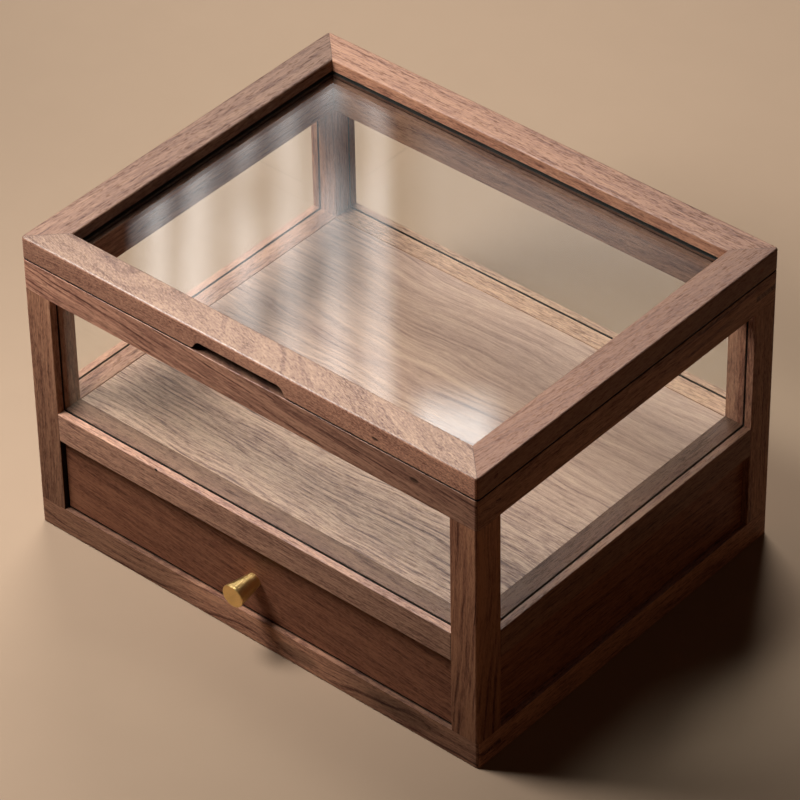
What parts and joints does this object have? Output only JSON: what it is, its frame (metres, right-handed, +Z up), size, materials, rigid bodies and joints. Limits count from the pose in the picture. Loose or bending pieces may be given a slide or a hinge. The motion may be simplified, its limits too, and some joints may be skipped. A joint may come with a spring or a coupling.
{
  "type": "tabletop tea cabinet",
  "caption": "Tabletop tea cabinet of dark wood with a hinged glass lid over a glazed display compartment and a drawer with a brass cone knob below.",
  "frame": {"origin": "centre of the whole object's footprint on the table, knob and hinge barrels included", "axes": "+X to the right seen from the front, +Y from the front to the back, +Z up"},
  "size_m": [0.36, 0.3016, 0.225],
  "materials": {
    "walnut": "oiled, satin, straight grain",
    "walnut_dark": "oiled, satin, darker boards",
    "walnut_floor": "oiled, matt, greyish open grain",
    "drawer_wood": "plain light wood, waxed",
    "plywood": "thin plywood, sanded",
    "clear_glass": "clear float glass",
    "satin_brass": "turned and brushed satin brass",
    "zinc_steel": "zinc-plated steel"
  },
  "bodies": {
    "case": {"back_panel": "walnut_dark", "bottom_board": "plywood", "bottom_rail_back": "walnut", "bottom_rail_front": "walnut", "bottom_rail_left": "walnut", "bottom_rail_right": "walnut", "drawer_guide_left": "drawer_wood", "drawer_guide_right": "drawer_wood", "drawer_runner_left": "drawer_wood", "drawer_runner_right": "drawer_wood", "drawer_stops": "drawer_wood", "floor_board": "walnut_floor", "glass_back": "clear_glass", "glass_front": "clear_glass", "glass_left": "clear_glass", "glass_right": "clear_glass", "hinge_case_leaf_left": "satin_brass", "hinge_case_leaf_right": "satin_brass", "hinge_pins": "satin_brass", "hinge_screws_case": "satin_brass", "middle_rail_back": "walnut", "middle_rail_front": "walnut", "middle_rail_left": "walnut", "middle_rail_right": "walnut", "post_back_left": "walnut", "post_back_right": "walnut", "post_front_left": "walnut", "post_front_right": "walnut", "side_panel_left": "walnut_dark", "side_panel_right": "walnut_dark", "top_rail_back": "walnut", "top_rail_front": "walnut", "top_rail_left": "walnut", "top_rail_right": "walnut"},
    "lid": {"hinge_lid_leaf_left": "satin_brass", "hinge_lid_leaf_right": "satin_brass", "hinge_screws_lid": "satin_brass", "lid_dowels": "walnut", "lid_glass": "clear_glass", "lid_rail_back": "walnut", "lid_rail_front": "walnut", "lid_rail_left": "walnut", "lid_rail_right": "walnut"},
    "drawer": {"drawer_front": "walnut_dark", "drawer_side_left": "drawer_wood", "drawer_side_right": "drawer_wood", "drawer_back": "drawer_wood", "drawer_bottom": "plywood", "knob": "satin_brass", "knob_screw": "zinc_steel"}
  },
  "joints": [
    {"name": "lid_hinge", "type": "hinge", "parent": "case", "child": "lid", "pos_m": [0, 0.1486, 0.2086], "axis": [-1, 0, 0], "range_deg": [0, 95]},
    {"name": "drawer_slide", "type": "slide", "parent": "case", "child": "drawer", "axis": [0, -1, 0], "range_m": [0, 0.195]}
  ]
}
